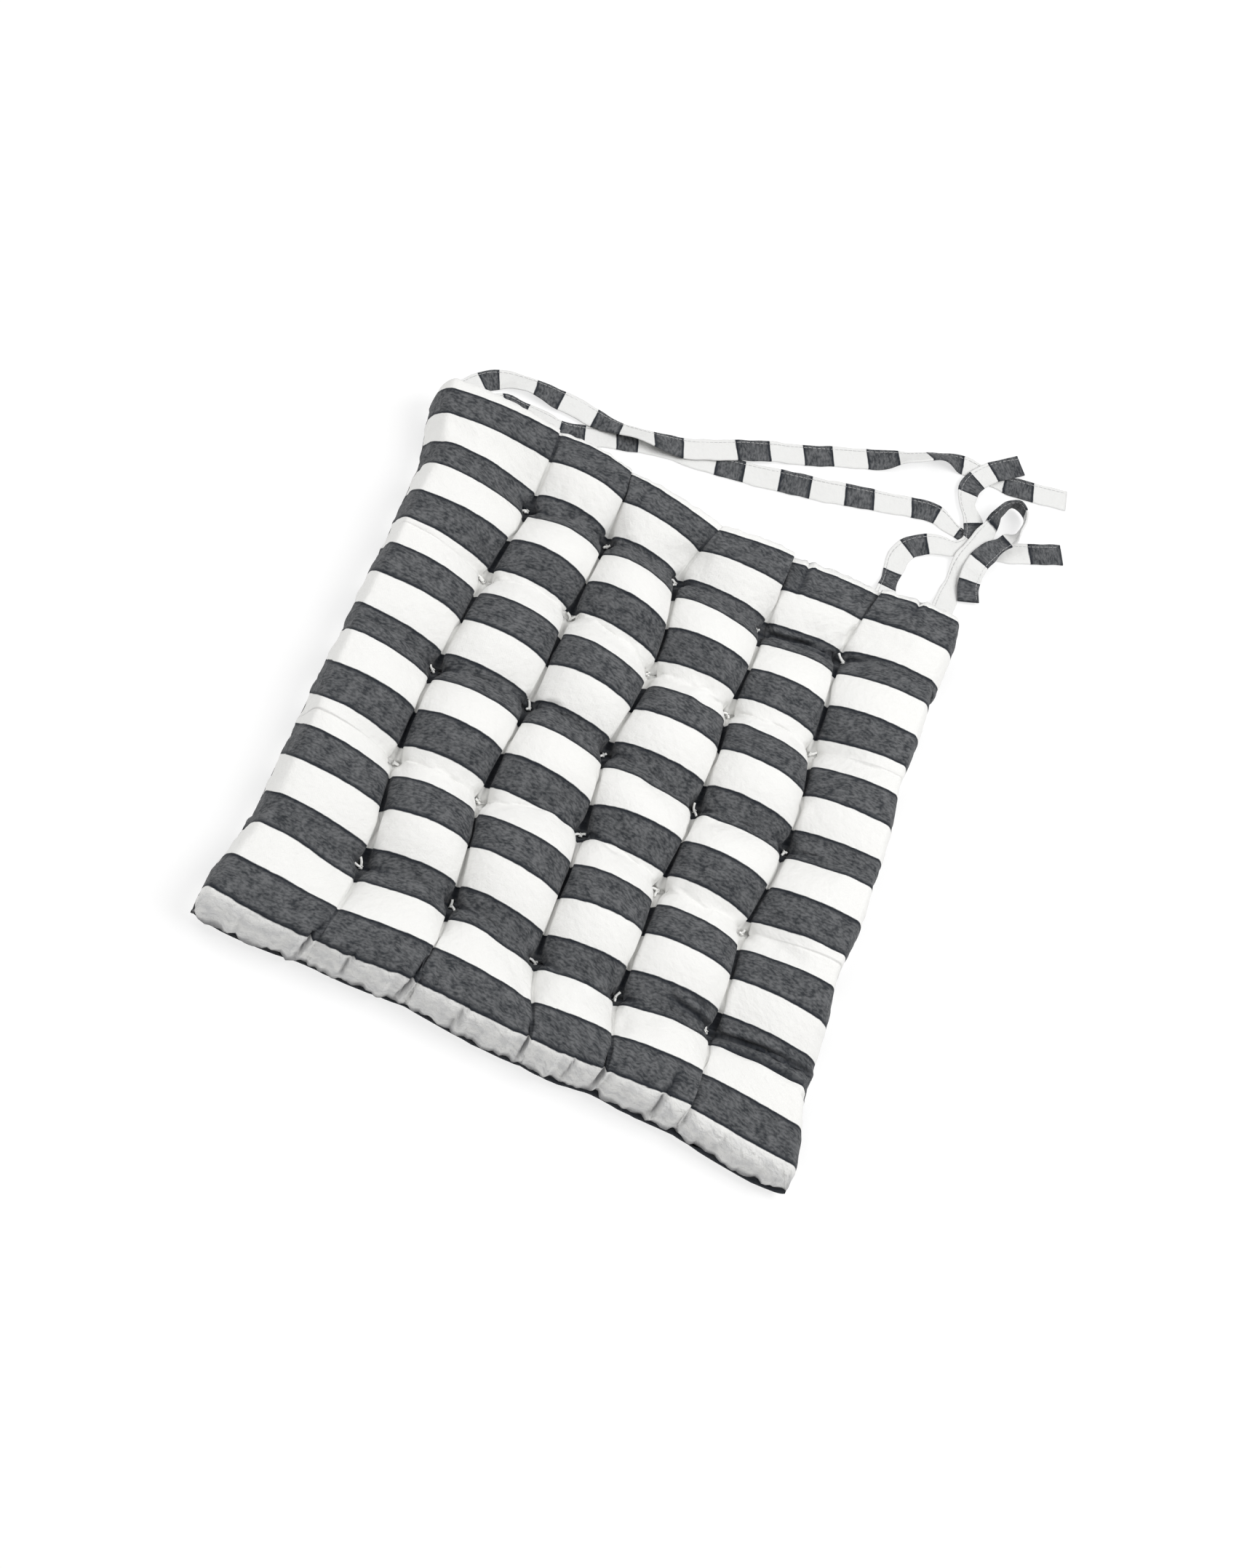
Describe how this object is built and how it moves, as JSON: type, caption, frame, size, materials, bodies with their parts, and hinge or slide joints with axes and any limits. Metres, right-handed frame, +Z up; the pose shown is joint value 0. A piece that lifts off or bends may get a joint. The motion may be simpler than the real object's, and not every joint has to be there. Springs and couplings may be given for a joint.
{
  "type": "tufted chair cushion with tie straps",
  "caption": "Square padded seat cushion, tufted in a grid of soft puffs, with flat cloth tie straps at the back edge.",
  "frame": {"origin": "middle of the flat underside, on the surface that the cushion lies on", "axes": "+X along the front edge to the right, +Y towards the back edge with the ties, +Z up"},
  "size_m": [0.4477, 0.5742, 0.0476],
  "materials": {
    "pad_cloth": "woven cotton with broad white and charcoal stripes, matte",
    "tie_cloth": "the same striped cotton cut across the stripes, folded and sewn flat, matte"
  },
  "bodies": {
    "root": {"pad": "pad_cloth", "tie_left_upper": "tie_cloth", "tie_left_lower": "tie_cloth", "tie_right_inner": "tie_cloth", "tie_right_outer": "tie_cloth"}
  },
  "joints": []
}
